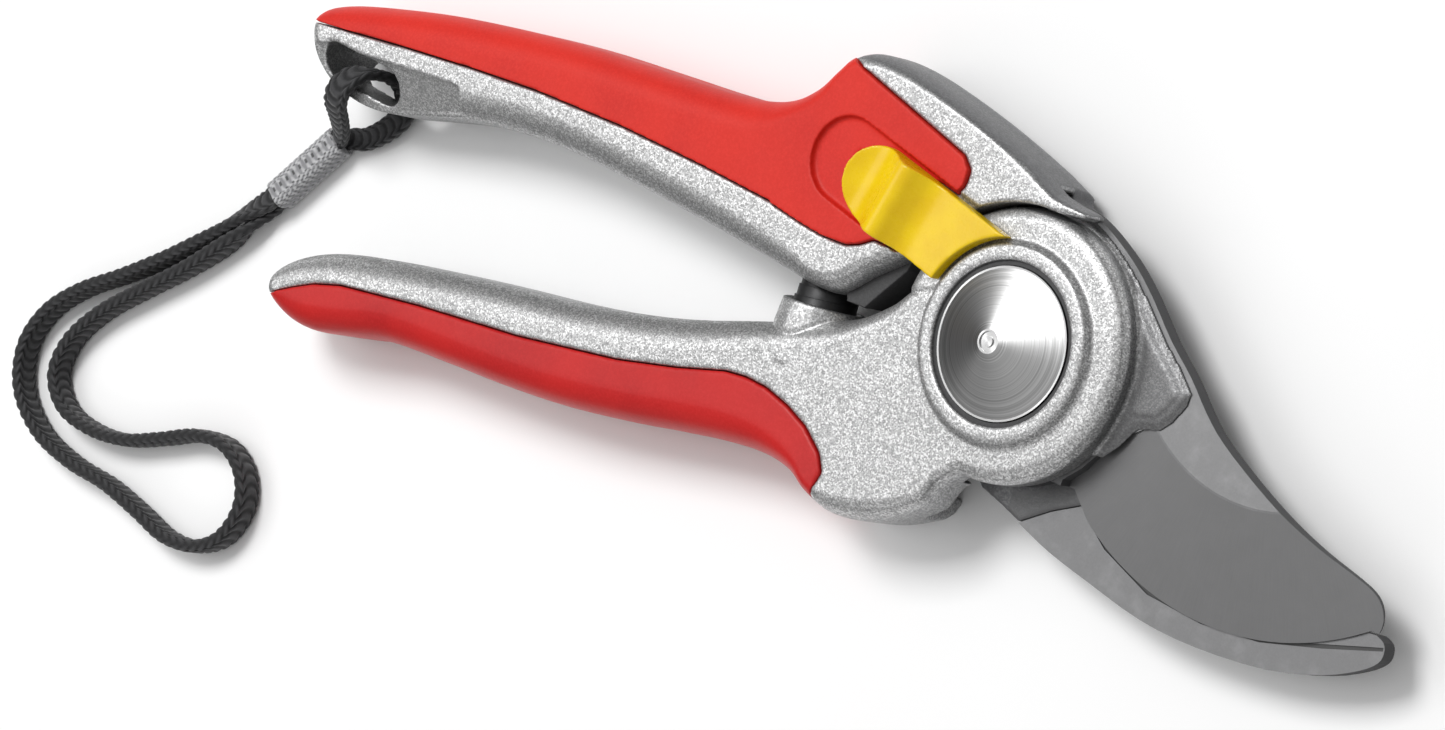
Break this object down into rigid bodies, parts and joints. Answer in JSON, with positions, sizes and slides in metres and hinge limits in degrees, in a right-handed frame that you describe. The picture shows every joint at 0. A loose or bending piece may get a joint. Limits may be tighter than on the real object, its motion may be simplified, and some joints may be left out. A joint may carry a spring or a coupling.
{
  "type": "pruning shears",
  "caption": "Bypass pruning shears with cast handles, inlaid red grips, sliding lock, compressed return spring and a wrist strap, closed and locked.",
  "frame": {"origin": "on the pivot's axis, in the plane the shears rest on, at the pivot bolt's head", "axes": "+X from the pivot towards the blades' tips, +Y towards the upper handle with the lock, +Z along the pivot out of the front face"},
  "size_m": [0.2751, 0.1121, 0.0206],
  "materials": {
    "cast_handle": "fine hammered silver",
    "upper_skin": "fine matte grain",
    "lower_skin": "satin",
    "blade_steel": "ground across the bevel",
    "counter_steel": "satin",
    "turned_nut": "turned, with fine circular lines",
    "bolt_steel": "plain",
    "small_steel": "plain",
    "spring_black": "black satin",
    "bronze": "sintered",
    "white_plastic": "plain",
    "black_rubber": "matte",
    "black_plastic": "satin",
    "yellow_plastic": "glossy",
    "strap_braid": "flat braid",
    "sleeve_braid": "light braid with dark flecks"
  },
  "bodies": {
    "upper_arm": {"upper_handle": "cast_handle", "upper_grip": "upper_skin", "counter_blade": "counter_steel", "pivot_bolt": "bolt_steel", "pivot_nut": "turned_nut", "spring_washer": "small_steel", "friction_washer": "white_plastic", "back_bush": "bronze", "counter_blade_screws": "small_steel", "volute_spring": "spring_black", "spring_cap": "black_plastic", "rubber_stop": "black_rubber", "detent_ball": "small_steel", "detent_spring": "small_steel", "strap_cord": "strap_braid", "strap_sleeve": "sleeve_braid"},
    "lower_arm": {"lower_handle": "cast_handle", "lower_grip": "lower_skin", "cutting_blade": "blade_steel", "blade_bush": "bronze", "blade_screws": "small_steel", "nut_seal": "black_rubber", "spring_seat": "small_steel"},
    "lock": {"lock_slide": "yellow_plastic", "lock_tongue": "small_steel", "lock_rivet": "small_steel"}
  },
  "joints": [
    {"name": "main_pivot", "type": "hinge", "parent": "upper_arm", "child": "lower_arm", "pos_m": [0, 0, 0], "axis": [0, 0, 1], "range_deg": [0, 28], "deforming": ["volute_spring"]},
    {"name": "lock_slide", "type": "slide", "parent": "upper_arm", "child": "lock", "axis": [-0.9568, 0.2907, 0], "range_m": [0, 0.007]}
  ]
}
